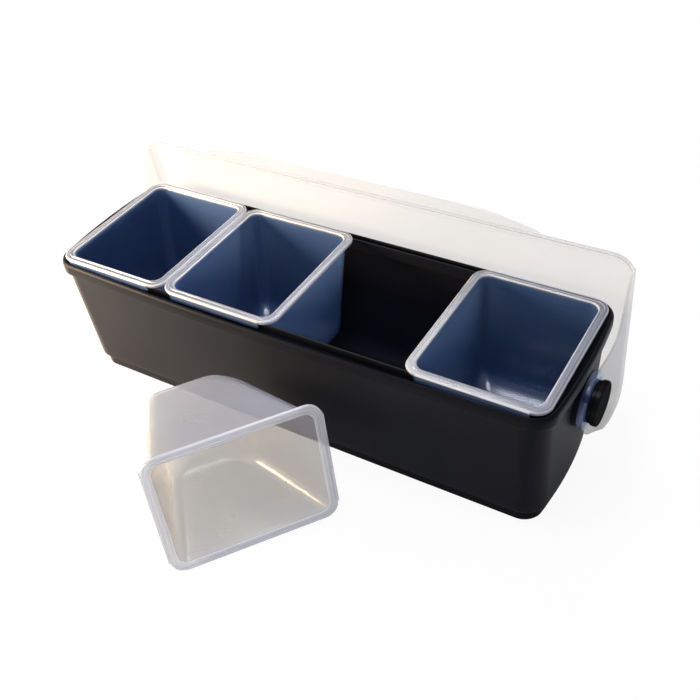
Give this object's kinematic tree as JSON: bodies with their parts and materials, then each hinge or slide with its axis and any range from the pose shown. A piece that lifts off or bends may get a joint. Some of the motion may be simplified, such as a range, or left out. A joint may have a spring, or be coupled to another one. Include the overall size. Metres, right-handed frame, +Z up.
{
  "type": "condiment caddy",
  "caption": "Countertop condiment caddy: a black tray holds lift-out translucent food inserts under a long clear lid that flips back on side knobs, with a spare insert in front.",
  "frame": {"origin": "on the plane that the tray stands on, straight below the middle of the insert openings", "axes": "+X along the length of the tray, +Y from the front to the back, +Z up"},
  "size_m": [0.508, 0.3375, 0.1865],
  "materials": {
    "tray_black": "satin moulded ABS",
    "lid_clear": "frosted translucent polypropylene",
    "insert_translucent": "translucent polypropylene",
    "knob_black": "satin moulded",
    "stud_steel": "turned",
    "nut_brass": "turned"
  },
  "bodies": {
    "tray": {"tray": "tray_black", "boss_nut_left": "nut_brass", "boss_nut_right": "nut_brass"},
    "lid": {"lid": "lid_clear"},
    "insert_1": {"insert_1": "insert_translucent"},
    "insert_2": {"insert_2": "insert_translucent"},
    "insert_4": {"insert_4": "insert_translucent"},
    "loose_insert": {"loose_insert": "insert_translucent"},
    "knob_left": {"knob_left": "knob_black", "stud_left": "stud_steel"},
    "knob_right": {"knob_right": "knob_black", "stud_right": "stud_steel"}
  },
  "joints": [
    {"name": "lid_hinge", "type": "hinge", "parent": "tray", "child": "lid", "pos_m": [0, 0, 0.089], "axis": [-1, 0, 0], "range_deg": [-83, 0]},
    {"name": "insert_1_lift", "type": "slide", "parent": "tray", "child": "insert_1", "axis": [0, 0, 1], "range_m": [0, 0.13]},
    {"name": "insert_2_lift", "type": "slide", "parent": "tray", "child": "insert_2", "axis": [0, 0, 1], "range_m": [0, 0.13]},
    {"name": "insert_4_lift", "type": "slide", "parent": "tray", "child": "insert_4", "axis": [0, 0, 1], "range_m": [0, 0.13]},
    {"name": "loose_insert_lift", "type": "slide", "parent": "tray", "child": "loose_insert", "axis": [0, 0, 1], "range_m": [0, 0.13]},
    {"name": "knob_left_turn", "type": "hinge", "parent": "tray", "child": "knob_left", "pos_m": [-0.25, 0, 0.089], "axis": [-1, 0, 0], "range_deg": [0, 180]},
    {"name": "knob_right_turn", "type": "hinge", "parent": "tray", "child": "knob_right", "pos_m": [0.25, 0, 0.089], "axis": [1, 0, 0], "range_deg": [0, 180]}
  ]
}
